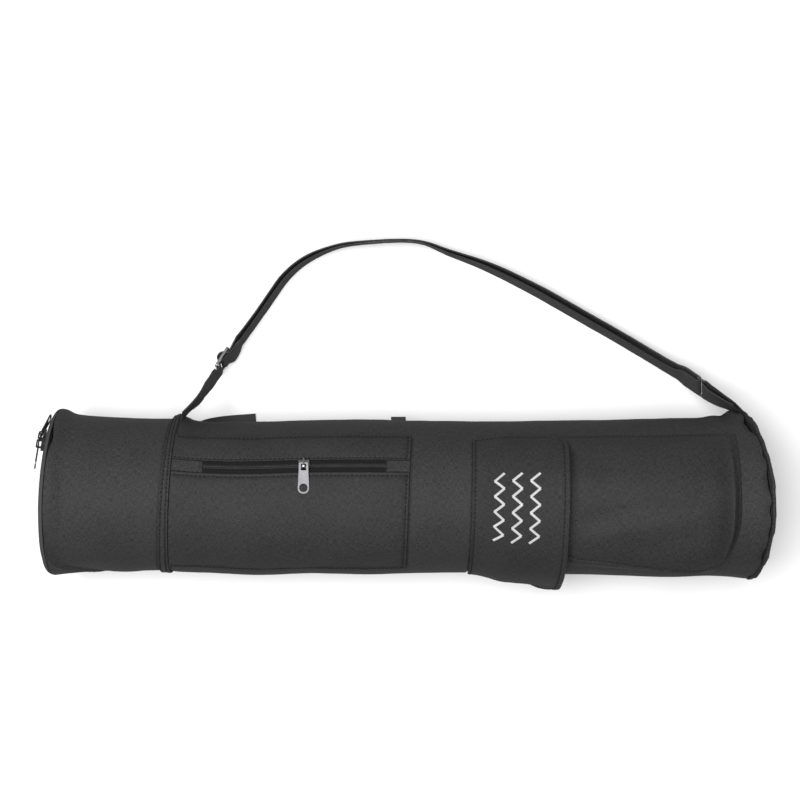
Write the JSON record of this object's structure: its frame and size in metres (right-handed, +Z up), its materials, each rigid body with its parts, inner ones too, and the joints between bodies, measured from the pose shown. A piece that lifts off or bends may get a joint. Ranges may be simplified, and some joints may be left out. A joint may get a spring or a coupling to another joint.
{
  "type": "yoga mat bag",
  "caption": "Charcoal canvas yoga mat bag lying on its back, with a zipped end cap, zip pocket, flapped pocket and webbing shoulder strap",
  "frame": {"origin": "centre of the flattened underside that the bag rests on", "axes": "+X along the bag from the zipped cap to the base, +Y toward the shoulder strap, +Z up through the pockets"},
  "size_m": [0.7071, 0.3542, 0.17],
  "materials": {
    "canvas": "plain woven cotton canvas, matte",
    "webbing": "woven cotton webbing, matte",
    "tape": "woven zip tape, matte",
    "black_tape": "woven black zip tape, matte",
    "coil": "black zip coil",
    "metal": "plated zip and strap hardware, satin"
  },
  "bodies": {
    "bag": {"body_shell": "canvas", "strap_band": "canvas", "cap_zip_tape": "tape", "cap_zip_coil": "coil", "cap_panel": "canvas", "base_binding": "canvas", "base_panel": "canvas", "pocket_top_band": "canvas", "pocket_panel": "canvas", "pocket_tab_left": "canvas", "pocket_tab_right": "canvas", "pocket_zip_tape": "black_tape", "pocket_zip_coil": "coil", "gusset_pocket": "canvas", "front_flap": "canvas", "shoulder_strap": "webbing", "strap_slider": "metal", "strap_ring": "metal", "anchor_loop": "webbing", "rear_tab": "webbing", "rear_loop": "webbing", "pocket_slider": "metal", "cap_slider_lower": "metal", "cap_slider_upper": "metal"},
    "pocket_pull": {"pocket_pull": "metal"},
    "cap_pull_lower": {"cap_pull_lower": "metal"},
    "cap_pull_upper": {"cap_pull_upper": "metal"}
  },
  "joints": [
    {"name": "pocket_pull_hinge", "type": "hinge", "parent": "bag", "child": "pocket_pull", "pos_m": [-0.099, 0.03685, 0.14772], "axis": [-1, 0, 0], "range_deg": [0, 165]},
    {"name": "cap_pull_lower_hinge", "type": "hinge", "parent": "bag", "child": "cap_pull_lower", "pos_m": [-0.35395, 0.06302, 0.1275], "axis": [0.2079, 0.7379, 0.6421], "range_deg": [0, 95]},
    {"name": "cap_pull_upper_hinge", "type": "hinge", "parent": "bag", "child": "cap_pull_upper", "pos_m": [-0.35429, 0.0551, 0.13531], "axis": [-0.2079, -0.6369, -0.7423], "range_deg": [0, 80]}
  ]
}
